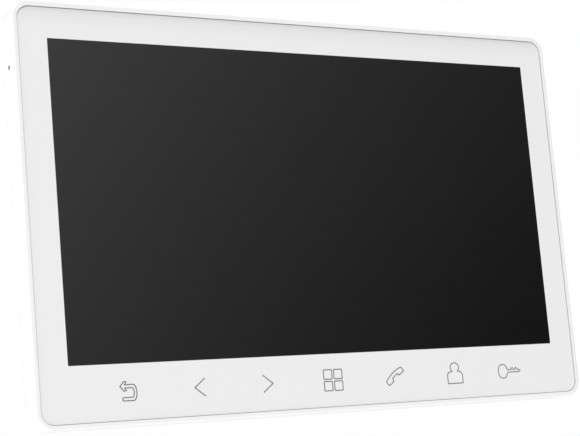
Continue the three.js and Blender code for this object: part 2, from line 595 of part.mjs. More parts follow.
/** Rear cover: the visible edge, the brim, the raised centre, its screws and a blank label. */
function rearCover() {
  const front = DEPTH.part - GAP;
  const { width, height, corner, slope, shoulder, thinning } = PLATEAU;
  const outer = loft([
    { width, height, corner, z: DEPTH.back },
    { width: width + 2 * slope, height: height + 2 * slope, corner: shoulder, z: DEPTH.brim },
    ringOf(DEPTH.brim + 0.001, 1.5), ringOf(DEPTH.brim + 0.44, 0.44), ringOf(DEPTH.brim + 1.5, 0),
    ringOf(front - 0.3, 0), ringOf(front, 0.3),
  ]);
  const hollow = (grow, round, z) => {
    return { width: width + grow, height: height + grow, corner: round - thinning, z };
  };
  const inner = loft([
    hollow(-2 * thinning, corner, DEPTH.back + WALL),
    hollow(2 * (slope - thinning), shoulder, DEPTH.brim + WALL),
    { ...coverInside, z: DEPTH.brim + WALL + 0.001 }, { ...coverInside, z: front + PAST },
  ]);
  const root = DEPTH.back + WALL / 2;
  const standoffs = BOARD_SCREWS.map(([x, y]) => bar(x, y, STANDOFF.radius, root, partsBack));
  const bores = BOARD_SCREWS.map(([x, y]) => bar(x, y, STANDOFF.bore, STANDOFF.floor, BOARD.back));
  const body = carve([carve([outer], [inner]), ...standoffs], [...bores, ...coverOpenings()]);
  add('rear_cover', body, WHITE_PLASTIC());

  const seat = DEPTH.brim + COVER_RECESS.depth - SCREWS.cover.clear;
  onEdges(COVER_SCREW_ROWS).forEach(([x, y], k) => {
    add(`cover_screw_${k + 1}`, screw(SCREWS.cover, x, y, seat), STEEL());
  });
  const labelFront = DEPTH.brim - LABEL.clear;
  add('rating_label', plate(roundedRect(LABEL.width, LABEL.height, LABEL.corner, 0, LABEL.y),
    labelFront - LABEL.thickness, labelFront), PAPER());
}

wallBracket();
frontFrame();
frontSheet();
displayModule();
touchKeys();
mainBoard();
loudspeaker();
microphone();
memoryCard();
powerSwitch();
rearCover();

export default group;
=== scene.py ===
import math
from types import SimpleNamespace

import bmesh
import bpy
from mathutils import Matrix, Vector


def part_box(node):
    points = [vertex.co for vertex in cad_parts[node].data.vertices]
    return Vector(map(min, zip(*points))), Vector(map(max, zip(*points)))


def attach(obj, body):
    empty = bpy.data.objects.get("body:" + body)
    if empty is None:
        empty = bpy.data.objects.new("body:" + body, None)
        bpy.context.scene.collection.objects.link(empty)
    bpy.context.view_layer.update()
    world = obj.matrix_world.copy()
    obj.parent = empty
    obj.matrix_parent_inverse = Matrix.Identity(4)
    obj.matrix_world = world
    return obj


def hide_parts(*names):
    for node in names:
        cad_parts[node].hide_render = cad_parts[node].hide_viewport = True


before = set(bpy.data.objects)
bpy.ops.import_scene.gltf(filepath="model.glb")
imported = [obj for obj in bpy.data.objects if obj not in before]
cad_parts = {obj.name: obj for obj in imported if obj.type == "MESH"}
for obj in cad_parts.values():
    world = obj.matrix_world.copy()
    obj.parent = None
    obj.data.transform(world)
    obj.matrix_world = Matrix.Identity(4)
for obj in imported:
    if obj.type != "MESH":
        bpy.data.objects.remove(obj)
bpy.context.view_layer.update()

# Looks of a wall-mounted video intercom monitor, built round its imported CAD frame.
#
# Shapes are drawn in the panel's frame, in millimetres: x to the right, y up, z out of the wall.

MM = 0.001  # metres in a millimetre
BODY = "monitor"


# ---------------------------------------------------------------- places taken from the frame

def to_row(point):
    """A point of the panel's frame as a point of the row frame, in metres."""
    x, y, z = point
    return Vector((x, -z, y)) * MM


def span(node):
    """The box of a CAD node in the panel's frame."""
    low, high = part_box(node)
    return SimpleNamespace(
        left=low[0] / MM, right=high[0] / MM, low=low[2] / MM, high=high[2] / MM,
        back=-high[1] / MM, front=-low[1] / MM,
        width=(high[0] - low[0]) / MM, height=(high[2] - low[2]) / MM,
        x=(low[0] + high[0]) / 2 / MM, y=(low[2] + high[2]) / 2 / MM, z=-(low[1] + high[1]) / 2 / MM,
    )


FRAME = span("front_frame")
COVER = span("rear_cover")
SHEET = span("front_panel")
WINDOW = span("display_window")
BRACKET = span("wall_bracket")
KEY_NAMES = ("back", "left", "right", "menu", "talk", "guard", "unlock")
KEYS = {name: span(f"key_pad_{name}") for name in KEY_NAMES}

# ---------------------------------------------------------------- shapes that the frame doesn't state

SIDES = (-1, 1)
CORNER = 7.0  # outer corner radius of the housing
CORNER_STEPS = 16  # steps round a quarter turn
FINE_STEPS = 24  # the same, for the corners at the front
ROUND_STEPS = 32  # steps round a hole
SHEET_CORNER = 5.0
LIP_ROUND = 1.3  # how far the lip's outer edge is rounded
CHAMFER = 0.3  # on the edges where the frame and the cover meet
LEDGE_FRONT, LEDGE_BACK = 18.8, 17.6  # the frame's ledge, which carries the sheet
TONGUE = SimpleNamespace(near=2.3, far=3.5, back=15.5)  # ring of the frame inside the cover's wall
WALL = 2.0  # wall thickness of the rear cover
PLATEAU = SimpleNamespace(width=190.0, height=112.0, corner=8.0, slope=8.0)  # raised centre of the cover
BRIM = 8.0  # distance of the cover's brim from the wall
BAY = SimpleNamespace(x=-9.0, y=-25.0, width=80.0, height=16.0, corner=2.0)  # opening round the connectors
SPEAKER_SLOTS = SimpleNamespace(each_side=2, pitch=5.4, width=2.4, length=27, step=3)
VENTS = SimpleNamespace(count=16, first=-64, pitch=6.4, y=47.0, width=2.4, length=10.0)
SWITCH_SLOT = SimpleNamespace(low=-7.3, high=-2.7, back=11.3, front=13.5)
EDGE_X = 119.2  # line of the cover's screws down each side
SCREW_ROWS = (-50.0, 8.0, 66.0)
SCREW = SimpleNamespace(radius=2.2, head=1.0, shank=1.0, length=6.0, cross=2.5, arm=0.5, cross_depth=0.75)

BRACKET_SHEET = 1.2  # thickness of the bracket's steel
HOOK = SimpleNamespace(x=58.0, tops=(31.0, -25.0), width=10.0, reach=5.0, bend=1.2)
HOOK_SLOT = SimpleNamespace(width=12.0, height=7.8, drop=3.6, corner=0.5)
CABLE_WINDOW = SimpleNamespace(y=-25.0, width=96.0, height=26.0, corner=4.0)
WALL_HOLES = SimpleNamespace(x=40.0, rows=(34.0, 2.0, -42.5), width=4.5)

HEADER = SimpleNamespace(wall=0.8, corner=0.3, floor=1.4, notch=1.2, notch_x=3.0, key=3.2, pins=4, pin=0.64)
CARD_PADS = SimpleNamespace(count=8, pitch=1.05, length=2.6, width=0.7)


# ---------------------------------------------------------------- mesh helpers

def outline(width, height, corner, x=0.0, y=0.0, steps=CORNER_STEPS):
    """Points of a rounded rectangle, anticlockwise."""
    points = []
    for turn, (sx, sy) in enumerate(((1, 1), (-1, 1), (-1, -1), (1, -1))):
        cx = x + sx * (width / 2 - corner)
        cy = y + sy * (height / 2 - corner)
        for k in range(steps + 1):
            angle = math.pi / 2 * (turn + k / steps)
            points.append((cx + corner * math.cos(angle), cy + corner * math.sin(angle)))
    return points


def ring(width, height, corner, z, soft=0.0, x=0.0, y=0.0):
    """One level of a loft. soft is how far from this level the skin starts to round it off."""
    return SimpleNamespace(v=Vector((width, height, corner, z)), soft=soft, x=x, y=y)


def inset(base, amount, z, soft=0.0):
    """The ring that lies the amount inside the housing's outline."""
    return ring(base.width - 2 * amount, base.height - 2 * amount, max(CORNER - amount, 0.3), z, soft)


def softened(rings, closed, steps=5):
    """Rounds each soft level with a parabola between its two neighbours."""
    def reach(a, b):
        step = b.v - a.v
        return math.hypot(max(abs(step[0]), abs(step[1])) / 2, step[3])

    result = []
    for k, here in enumerate(rings):
        if not here.soft or (not closed and k in (0, len(rings) - 1)):
            result.append(here)
            continue
        before, after = rings[k - 1], rings[(k + 1) % len(rings)]
        start = here.v.lerp(before.v, min(here.soft / reach(here, before), 0.5))
        end = here.v.lerp(after.v, min(here.soft / reach(here, after), 0.5))
        for n in range(steps + 1):
            t = n / steps
            v = start * (1 - t) ** 2 + here.v * 2 * t * (1 - t) + end * t ** 2
            result.append(SimpleNamespace(v=v, soft=0.0, x=here.x, y=here.y))
    return result


def loft_mesh(name, rings, closed=False, steps=CORNER_STEPS):
    """A closed skin through the levels: capped at both ends, or closed on itself as a frame is."""
    levels = softened(rings, closed)
    mesh = bmesh.new()
    loops = []
    for level in levels:
        width, height, corner, z = level.v
        points = outline(width, height, corner, level.x, level.y, steps)
        loops.append([mesh.verts.new(to_row((px, py, z))) for px, py in points])
    pairs = list(zip(loops, loops[1:]))
    if closed:
        pairs.append((loops[-1], loops[0]))
    else:
        mesh.faces.new(loops[0][::-1])
        mesh.faces.new(loops[-1])
    for low, high in pairs:
        for k in range(len(low)):
            j = (k + 1) % len(low)
            mesh.faces.new((low[k], low[j], high[j], high[k]))
    return finish_mesh(name, mesh)


def finish_mesh(name, mesh):
    """Cleans a bmesh, turns its faces outwards and makes an object of it."""
    bmesh.ops.remove_doubles(mesh, verts=mesh.verts, dist=1e-8)
    bmesh.ops.recalc_face_normals(mesh, faces=mesh.faces)
    data = bpy.data.meshes.new(name)
    mesh.to_mesh(data)
    mesh.free()
    made = bpy.data.objects.new(name, data)
    bpy.context.scene.collection.objects.link(made)
    return made


def prism_mesh(name, points, back, front):
    """A flat piece of the outline, from back to front."""
    mesh = bmesh.new()
    low = [mesh.verts.new(to_row((x, y, back))) for x, y in points]
    high = [mesh.verts.new(to_row((x, y, front))) for x, y in points]
    mesh.faces.new(low[::-1])
    mesh.faces.new(high)
    for k in range(len(points)):
        j = (k + 1) % len(points)
        mesh.faces.new((low[k], low[j], high[j], high[k]))
    return finish_mesh(name, mesh)


def turned_mesh(name, profile, steps, axis="z", at=(0.0, 0.0, 0.0)):
    """A solid of revolution: profile is [radius, distance along the axis] from the axis and back to it."""
    mesh = bmesh.new()
    loops = []
    for radius, along in profile:
        loop = []
        for k in range(steps):
            angle = 2 * math.pi * k / steps
            u, v = radius * math.cos(angle), radius * math.sin(angle)
            local = (u, v, along) if axis == "z" else (along, u, v)
            loop.append(mesh.verts.new(to_row([a + b for a, b in zip(local, at)])))
        loops.append(loop)
    for low, high in zip(loops, loops[1:]):
        for k in range(steps):
            j = (k + 1) % steps
            mesh.faces.new((low[k], low[j], high[j], high[k]))
    mesh.faces.new(loops[0][::-1])
    mesh.faces.new(loops[-1])
    return finish_mesh(name, mesh)


def box_mesh(name, x0, x1, y0, y1, z0, z1):
    """A plain block, between two places along each axis."""
    return prism_mesh(name, [(x0, y0), (x1, y0), (x1, y1), (x0, y1)], z0, z1)


def apply_modifiers(piece):
    """Replaces the piece's mesh by what its modifiers make of it."""
    graph = bpy.context.evaluated_depsgraph_get()
    data = bpy.data.meshes.new_from_object(piece.evaluated_get(graph))
    piece.modifiers.clear()
    piece.data = data


def joined(name, pieces):
    """One object of several, which are removed."""
    mesh = bmesh.new()
    for piece in pieces:
        mesh.from_mesh(piece.data)
        bpy.data.objects.remove(piece)
    data = bpy.data.meshes.new(name)
    mesh.to_mesh(data)
    mesh.free()
    made = bpy.data.objects.new(name, data)
    bpy.context.scene.collection.objects.link(made)
    return made


def combine(piece, others, operation):
    """Cuts the other objects out of the piece, or joins them to it, and removes them."""
    tool = joined("tool", others)
    step = piece.modifiers.new("boolean", "BOOLEAN")
    step.operation = operation
    step.solver = "EXACT"
    step.use_self = operation == "UNION"
    step.object = tool
    apply_modifiers(piece)
    bpy.data.objects.remove(tool)


def bevelled(piece, width, segments=2, angle=30):
    """Rounds the piece's sharp edges."""
    step = piece.modifiers.new("bevel", "BEVEL")
    step.width = width * MM
    step.segments = segments
    step.limit_method = "ANGLE"
    step.angle_limit = math.radians(angle)
    apply_modifiers(piece)


def smooth(piece, angle=32):
    """Smooth shading that keeps real corners, with flat faces kept flat."""
    piece.data.polygons.foreach_set("use_smooth", [True] * len(piece.data.polygons))
    piece.data.set_sharp_from_angle(angle=math.radians(angle))
    step = piece.modifiers.new("normals", "WEIGHTED_NORMAL")
    step.keep_sharp = True
    step.weight = 100


def place(piece, body, material, slot, *nodes):
    """Gives a finished piece its material and body, and hides the CAD nodes that it stands for; the slot is
    not used.
    """
    piece.data.materials.clear()
    piece.data.materials.append(material)
    smooth(piece)
    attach(piece, body)
    if nodes:
        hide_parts(*nodes)
    return piece


# ---------------------------------------------------------------- materials

def grey(value):
    """An opaque grey."""
    return (value, value, value, 1.0)


class Shade:
    """A Principled material with a few node helpers. Texture coordinates are the object's own, in metres."""

    def __init__(self, name, color, roughness, metallic=0.0, ior=1.45, coat=0.0, coat_roughness=0.03):
        self.material = bpy.data.materials.new(name)
        self.material.use_nodes = True
        self.nodes = self.material.node_tree.nodes
        self.links = self.material.node_tree.links
        self.shader = self.nodes["Principled BSDF"]
        self.color = color
        self.set("Base Color", color)
        self.set("Roughness", roughness)
        self.set("Metallic", metallic)
        self.set("IOR", ior)
        self.set("Coat Weight", coat)
        self.set("Coat Roughness", coat_roughness)
        self.place = self.nodes.new("ShaderNodeTexCoord").outputs["Object"]

    def set(self, socket, value):
        """Gives a socket of the shader a constant."""
        self.shader.inputs[socket].default_value = value

    def link(self, output, socket):
        """Feeds a socket of the shader from a node."""
        self.links.new(output, self.shader.inputs[socket])

    def noise(self, scale, detail=3.0, rough=0.5, stretch=None):
        """Noise with `scale` grains to a metre, stretched by the three factors if given."""
        node = self.nodes.new("ShaderNodeTexNoise")
        node.inputs["Scale"].default_value = scale
        node.inputs["Detail"].default_value = detail
        node.inputs["Roughness"].default_value = rough
        self.links.new(self.stretched(stretch) if stretch else self.place, node.inputs["Vector"])
        return node.outputs["Fac"]

    def cells(self, scale):
        """A random value in each of the cells, `scale` of them to a metre."""
        node = self.nodes.new("ShaderNodeTexVoronoi")
        node.inputs["Scale"].default_value = scale
        self.links.new(self.place, node.inputs["Vector"])
        return node.outputs["Color"]

    def stretched(self, factors):
        """The texture coordinates, scaled by the three factors."""
        node = self.nodes.new("ShaderNodeMapping")
        node.inputs["Scale"].default_value = factors
        self.links.new(self.place, node.inputs["Vector"])
        return node.outputs["Vector"]

    def remap(self, value, low, high, to_low, to_high, smoothly=False):
        """Carries the range from low to high over to the other range, and holds it there."""
        node = self.nodes.new("ShaderNodeMapRange")
        node.interpolation_type = "SMOOTHSTEP" if smoothly else "LINEAR"
        node.inputs["From Min"].default_value = low
        node.inputs["From Max"].default_value = high
        node.inputs["To Min"].default_value = to_low
        node.inputs["To Max"].default_value = to_high
        self.links.new(value, node.inputs["Value"])
        return node.outputs["Result"]

    def axis(self, index):
        """One of the texture coordinates."""
        node = self.nodes.new("ShaderNodeSeparateXYZ")
        self.links.new(self.place, node.inputs["Vector"])
        return node.outputs[index]

    def blend(self, factor, low, high):
        """A colour that goes from low to high as the factor goes from 0 to 1."""
        node = self.nodes.new("ShaderNodeMix")
        node.data_type = "RGBA"
        for socket, value in ((6, low), (7, high)):
            if isinstance(value, bpy.types.NodeSocket):
                self.links.new(value, node.inputs[socket])
            else:
                node.inputs[socket].default_value = value
        self.links.new(factor, node.inputs[0])
        return node.outputs[2]

    def bump(self, height, strength, distance):
        """Fine relief from the height's value, `distance` metres deep."""
        node = self.nodes.new("ShaderNodeBump")
        node.inputs["Strength"].default_value = strength
        node.inputs["Distance"].default_value = distance
        self.links.new(height, node.inputs["Height"])
        self.link(node.outputs["Normal"], "Normal")

    def varied(self, amount, scale, detail=2.0):
        """Lets the colour wander a little, as a moulded or painted surface does."""
        dark = tuple(c * (1 - amount) for c in self.color[:3]) + (1.0,)
        light = tuple(min(c * (1 + amount), 1.0) for c in self.color[:3]) + (1.0,)
        self.link(self.blend(self.noise(scale, detail), dark, light), "Base Color")

    def uneven_gloss(self, scale, low, high):
        """Lets the roughness wander between the two values."""
        self.link(self.remap(self.noise(scale), 0.3, 0.7, low, high), "Roughness")


def moulded(name, color, roughness=0.42, grain=1400.0, relief=0.00002, **options):
    """Moulded plastic: a fine spark-eroded grain and a slightly uneven gloss."""
    shade = Shade(name, color, roughness, **options)
    shade.varied(0.012, 60.0)
    fine = shade.noise(grain, 4.0, 0.6)
    shade.uneven_gloss(180.0, roughness - 0.05, roughness + 0.06)
    shade.bump(fine, 0.25, relief)
    return shade.material


def painted_sheet():
    """The clear front sheet over its white paint: very smooth, with the lip's shadow painted into its colour
    under its top edge.
    """
    shade = Shade("front_sheet_white", grey(0.85), 0.2, ior=1.3)
    top = SHEET.high * MM
    soft_shade, sharp_shade = 0.009, 0.0024  # how far down from the top edge each band of painted shadow reaches
    body = shade.blend(shade.noise(30.0, 2.0), grey(0.848), grey(0.856))
    # Painted shadow: the lip's soft shadow, darkened into the sheet's colour in a wide band and a narrow one
    # below the top edge.
    lip_shadow_wide = shade.remap(shade.axis("Z"), top - soft_shade, top, 0.0, 1.0, smoothly=True)
    lip_shadow_narrow = shade.remap(shade.axis("Z"), top - sharp_shade, top, 0.0, 1.0, smoothly=True)
    body = shade.blend(lip_shadow_wide, body, grey(0.785))
    shade.link(shade.blend(lip_shadow_narrow, body, grey(0.7)), "Base Color")
    shade.uneven_gloss(90.0, 0.17, 0.24)
    shade.bump(shade.noise(35.0, 1.0), 0.04, 0.0002)
    return shade.material


def dark_display():
    """The switched-off display behind its clear sheet: near black, with a faint haze of fingerprints."""
    shade = Shade("display_off", grey(0.005), 0.05, ior=1.5)
    haze = shade.noise(14.0, 4.0, 0.6)
    shade.link(shade.remap(haze, 0.35, 0.75, 0.03, 0.08), "Roughness")
    shade.link(shade.blend(shade.noise(22.0, 2.0), grey(0.0042), (0.0052, 0.0058, 0.0056, 1.0)), "Base Color")
    return shade.material


def printed_line():
    """Thin grey ink of the key symbols."""
    shade = Shade("key_ink", grey(0.2), 0.35)
    shade.link(shade.blend(shade.noise(900.0, 2.0), grey(0.17), grey(0.23)), "Base Color")
    shade.bump(shade.noise(2500.0), 0.1, 0.00001)
    return shade.material


def zinc_sheet(name, color=(0.6, 0.61, 0.62, 1.0), roughness=0.36, spangle=220.0):
    """Zinc-plated steel: large soft spangles, fine rolling lines and a satin sheen."""
    shade = Shade(name, color, roughness, metallic=1.0)
    dark = tuple(c * 0.86 for c in color[:3]) + (1.0,)
    shade.link(shade.blend(shade.cells(spangle), dark, color), "Base Color")
    lines = shade.noise(900.0, 3.0, 0.6, stretch=(0.05, 1.0, 1.0))
    shade.link(shade.remap(lines, 0.3, 0.7, roughness - 0.08, roughness + 0.1), "Roughness")
    shade.bump(lines, 0.15, 0.00002)
    return shade.material


def turned_metal(name, color, roughness=0.28):
    """Plated or bare metal with a fine, slightly uneven satin."""
    shade = Shade(name, color, roughness, metallic=1.0)
    shade.varied(0.06, 900.0)
    shade.uneven_gloss(1500.0, roughness - 0.08, roughness + 0.12)
    shade.bump(shade.noise(3000.0, 2.0), 0.1, 0.00001)
    return shade.material


def circuit_board():
    """Green solder mask over rows of copper tracks, with tinned pads."""
    shade = Shade("circuit_board_green", (0.012, 0.09, 0.035, 1.0), 0.3, coat=0.4)
    tracks = shade.nodes.new("ShaderNodeTexBrick")
    tracks.inputs["Scale"].default_value = 260.0
    tracks.inputs["Color1"].default_value = (0.012, 0.09, 0.035, 1.0)
    tracks.inputs["Color2"].default_value = (0.016, 0.12, 0.05, 1.0)
    tracks.inputs["Mortar"].default_value = (0.03, 0.2, 0.08, 1.0)
    tracks.inputs["Mortar Size"].default_value = 0.035
    turn = shade.nodes.new("ShaderNodeMapping")
    turn.inputs["Rotation"].default_value = (math.pi / 2, 0.0, 0.0)
    shade.links.new(shade.place, turn.inputs["Vector"])
    shade.links.new(turn.outputs["Vector"], tracks.inputs["Vector"])
    shade.link(tracks.outputs["Color"], "Base Color")
    shade.uneven_gloss(400.0, 0.25, 0.4)
    shade.bump(tracks.outputs["Fac"], 0.3, 0.00003)
    return shade.material


def ribbon_film():
    """Amber polyimide film over fine parallel conductors."""
    shade = Shade("polyimide_film", (0.36, 0.16, 0.03, 1.0), 0.3, coat=0.3)
    lines = shade.noise(1600.0, 1.0, 0.4, stretch=(1.0, 0.02, 0.02))
    shade.link(shade.blend(lines, (0.24, 0.1, 0.015, 1.0), (0.5, 0.25, 0.06, 1.0)), "Base Color")
    shade.link(shade.remap(lines, 0.3, 0.7, 0.25, 0.38), "Roughness")
    return shade.material


def porous(name, color, grain=1800.0):
    """Foam, felt and rubber: a matt surface with small pores."""
    shade = Shade(name, color, 0.85)
    shade.varied(0.15, 500.0)
    shade.uneven_gloss(600.0, 0.75, 0.95)
    shade.bump(shade.noise(grain, 3.0, 0.7), 0.5, 0.00006)
    return shade.material


def milky(name, color):
    """Silicone and light-guide plastic: pale, soft and a little translucent."""
    shade = Shade(name, color, 0.5)
    shade.set("Subsurface Weight", 0.2)
    shade.set("Subsurface Scale", 0.001)
    shade.varied(0.02, 200.0)
    shade.uneven_gloss(300.0, 0.42, 0.58)
    return shade.material


def blank_label():
    """A blank film label with a faint fibre."""
    shade = Shade("label_film", grey(0.78), 0.5)
    fibres = shade.noise(1500.0, 3.0)
    shade.link(shade.blend(fibres, grey(0.74), grey(0.8)), "Base Color")
    shade.uneven_gloss(200.0, 0.42, 0.58)
    shade.bump(fibres, 0.1, 0.00001)
    return shade.material


WHITE = moulded("housing_white", grey(0.885), 0.4)
SHEET_WHITE = painted_sheet()
DISPLAY = dark_display()
INK = printed_line()
ZINC = zinc_sheet("bracket_zinc")
THIN_STEEL = zinc_sheet("thin_zinc_steel", (0.56, 0.57, 0.58, 1.0), 0.32, 400.0)
SCREW_STEEL = turned_metal("screw_steel", (0.55, 0.56, 0.57, 1.0))
PIN_TIN = turned_metal("pin_tin", (0.72, 0.7, 0.64, 1.0), 0.22)
GOLD = turned_metal("contact_gold", (0.8, 0.55, 0.2, 1.0), 0.2)
ALUMINIUM = turned_metal("aluminium_satin", (0.72, 0.73, 0.74, 1.0), 0.35)
PCB = circuit_board()
FILM = ribbon_film()
FOAM = porous("foam_tape", grey(0.03))
RUBBER = porous("black_rubber", grey(0.016), 900.0)
SILICONE = milky("milky_silicone", (0.78, 0.79, 0.8, 1.0))
IVORY = moulded("connector_nylon", (0.72, 0.67, 0.53, 1.0), 0.42)
BLACK = moulded("black_plastic", grey(0.016), 0.45)
CHIP = moulded("chip_epoxy", grey(0.02), 0.55, 2200.0)
LABEL = blank_label()


# ---------------------------------------------------------------- front of the housing

def front_frame():
    """The white frame: its rounded lip, the ledge under the sheet and the tongue inside the rear cover."""
    around = 3.6  # what the ledge leaves open round the display, in all
    near, right, above = 0.16, 0.42, 0.3  # the sheet rests to the left and on the bottom of its opening

    def ledge(z):
        return ring(WINDOW.width + around, WINDOW.height + around, 0.6, z, x=WINDOW.x, y=WINDOW.y)

    def opening(z, soft=0.0):
        width, height = SHEET.width + near + right, SHEET.height + near + above
        return ring(width, height, SHEET_CORNER + 0.15, z, soft, (right - near) / 2, (above - near) / 2)

    piece = loft_mesh("frame_shell", [
        inset(FRAME, CHAMFER, LEDGE_BACK), inset(FRAME, 0.0, LEDGE_BACK + CHAMFER),
        inset(FRAME, 0.0, FRAME.front, LIP_ROUND), opening(FRAME.front, 0.12),
        opening(LEDGE_FRONT), ledge(LEDGE_FRONT), ledge(LEDGE_BACK),
        inset(FRAME, TONGUE.far, LEDGE_BACK), inset(FRAME, TONGUE.far, TONGUE.back),
        inset(FRAME, TONGUE.near, TONGUE.back), inset(FRAME, TONGUE.near, LEDGE_BACK),
    ], closed=True, steps=FINE_STEPS)
    place(piece, BODY, WHITE, "white_plastic", "front_frame")


def front_sheet():
    """The painted border of the sheet and its clear stretch over the display, flush with each other."""
    def level(cut, z, soft=0.0):
        return ring(SHEET.width - 2 * cut, SHEET.height - 2 * cut, SHEET_CORNER - cut, z, soft)

    def hole(z):
        return ring(WINDOW.width, WINDOW.height, 0.25, z, x=WINDOW.x, y=WINDOW.y)

    edge, flat = 0.1, 3.0  # rounding of the front edge, and where the flat face starts for certain
    border = loft_mesh("sheet_border", [
        level(0.0, SHEET.back), level(0.0, SHEET.front, edge), level(flat, SHEET.front),
        hole(SHEET.front), hole(SHEET.back),
    ], closed=True, steps=FINE_STEPS)
    place(border, BODY, SHEET_WHITE, "white_panel", "front_panel")
    pane = loft_mesh("display_pane", [hole(SHEET.back), hole(SHEET.front)], steps=3)
    place(pane, BODY, DISPLAY, "display_glass", "display_window")


# ---------------------------------------------------------------- key symbols

LINE = 0.44  # width of a printed line
INK_PROUD = 0.02  # how far the ink stands on the sheet


def stroke(points, closed):
    """A printed line of even width along the points, with mitred corners."""
    count = len(points)
    here = [Vector(p) for p in points]
    mesh = bmesh.new()
    rails = []
    for k in range(count):
        before = here[k - 1] if closed or k else None
        after = here[(k + 1) % count] if closed or k < count - 1 else None
        runs = [(b - a).normalized() for a, b in ((before, here[k]), (here[k], after)) if a and b]
        normals = [Vector((-run.y, run.x)) for run in runs]
        mitre = sum(normals, Vector((0.0, 0.0))).normalized()
        reach = LINE / 2 / max(mitre.dot(normals[0]), 0.5)
        left, right = here[k] + mitre * reach, here[k] - mitre * reach
        back, front = SHEET.front - 0.05, SHEET.front + INK_PROUD
        section = ((left, back), (left, front), (right, front), (right, back))
        rails.append([mesh.verts.new(to_row((p.x, p.y, z))) for p, z in section])
    links = list(zip(rails, rails[1:]))
    if closed:
        links.append((rails[-1], rails[0]))
    else:
        mesh.faces.new(rails[0])
        mesh.faces.new(rails[-1][::-1])
    for a, b in links:
        for k in range(4):
            j = (k + 1) % 4
            mesh.faces.new((a[k], b[k], b[j], a[j]))
    return finish_mesh("stroke", mesh)


def arc(x, y, rx, ry, start, end, steps=10, power=1.0):
    """Points on an ellipse from the start angle to the end angle, in degrees. A power under 1 squares it."""
    points = []
    for k in range(steps + 1):
        angle = math.radians(start + (end - start) * k / steps)
        c, s = math.cos(angle), math.sin(angle)
        across = math.copysign(abs(c) ** power, c)
        along = math.copysign(abs(s) ** power, s)
        points.append((x + rx * across, y + ry * along))
    return points


def back_symbol():
    """A hooked arrow that turns back to the left."""
    head = [(-0.75, 1.1), (-1.55, 1.1), (-0.9, 0.15), (-1.85, -0.1), (-3.4, 1.7), (-1.8, 3.5), (-0.9, 3.4),
            (-1.55, 2.32), (-0.75, 2.32)]
    outer = arc(1.85, -0.72, 1.42, 3.04, 90, -90, 14)
    end = [(-2.1, -3.76), (-2.5, -3.6), (-2.6, -3.1), (-2.4, -2.65), (-2.0, -2.52)]
    inner = arc(1.4, -0.72, 0.8, 1.82, -90, 90, 12)
    return [(head + outer + end + inner, True)]


def left_symbol():
    """An open angle that points left."""
    return [([(2.25, 3.2), (-2.1, -0.3), (2.25, -3.75)], False)]


def right_symbol():
    """An open angle that points right."""
    return [([(-2.15, 3.15), (2.3, -0.33), (-2.1, -3.75)], False)]


def menu_symbol():
    """Four squares with small round corners."""
    size, pitch = 3.8, 4.72
    x, y = 0.28, -0.38
    squares = []
    for sx in (-1, 1):
        for sy in (-1, 1):
            centre = (x + sx * pitch / 2, y + sy * pitch / 2)
            squares.append((outline(size, size, 0.3, *centre, steps=3), True))
    return squares


def talk_symbol():
    """A handset that leans to the right."""
    return [([
        (-4.1, -2.4), (-3.3, -1.35), (-2.2, -0.15), (-1.1, 0.85), (0.0, 1.7), (1.3, 2.5), (2.4, 3.02),
        (3.2, 3.38), (3.65, 3.2), (4.1, 2.5), (4.65, 1.85), (3.9, 1.2), (3.0, 0.6), (2.3, 0.12),
        (1.95, 0.35), (1.5, 0.78), (0.85, 0.42), (0.2, -0.1), (-0.4, -0.62), (-0.95, -1.12),
        (-0.65, -1.7), (-0.5, -2.2), (-1.0, -2.8), (-1.9, -3.5), (-2.75, -4.0), (-3.4, -3.4),
    ], True)]


def guard_symbol():
    """A plain figure: a round head on square shoulders."""
    x = 0.66
    head = arc(x, 2.0, 2.12, 2.0, -50, 230, 20)
    left = [(x - 2.3, 0.22), (x - 3.2, -0.1), (x - 3.65, -0.7), (x - 3.82, -1.6), (x - 3.72, -4.7)]
    right = [(2 * x - px, py) for px, py in reversed(left)]
    return [(head + left + right, True)]


def unlock_symbol():
    """A key: an oval bow, and a shaft with two teeth."""
    bow = arc(-3.87, -0.8, 2.35, 2.95, 14, 346, 30, power=0.86)
    shaft = [(-1.1, -1.25), (4.5, -1.3), (5.2, -0.95), (5.2, -0.65), (4.5, -0.3), (3.65, -0.25), (3.35, 0.4),
             (3.0, 0.6), (2.7, 0.4), (2.4, -0.25), (1.7, -0.25), (1.4, 0.45), (1.1, 0.7), (0.8, 0.45),
             (0.5, -0.22), (-1.1, -0.22)]
    return [(bow + shaft, True)]


def key_symbols():
    """Each key's symbol, printed over its key."""
    symbols = {
        "back": back_symbol, "left": left_symbol, "right": right_symbol, "menu": menu_symbol,
        "talk": talk_symbol, "guard": guard_symbol, "unlock": unlock_symbol,
    }
    for name, draw in symbols.items():
        key = KEYS[name]
        lines = []
        for points, closed in draw():
            lines.append(stroke([(key.x + px, key.y + py) for px, py in points], closed))
        place(joined(f"key_symbol_{name}", lines), BODY, INK, "key_print")


# ---------------------------------------------------------------- rear cover

def slot_cutter(x, y, width, height, surface, depth, chamfer=0.35, corner=None):
    """A cutter for a slot whose mouth, on the surface that faces the wall, is chamfered."""
    proud = 0.3  # how far the cutter stands out of the surface
    corner = min(width, height) / 2 - 0.001 if corner is None else corner
    grow = 2 * (chamfer + proud)
    return loft_mesh("cutter", [
        ring(width + grow, height + grow, corner + grow / 2, surface - proud, x=x, y=y),
        ring(width, height, corner, surface + chamfer, x=x, y=y),
        ring(width, height, corner, surface + depth, x=x, y=y),
    ], steps=6)


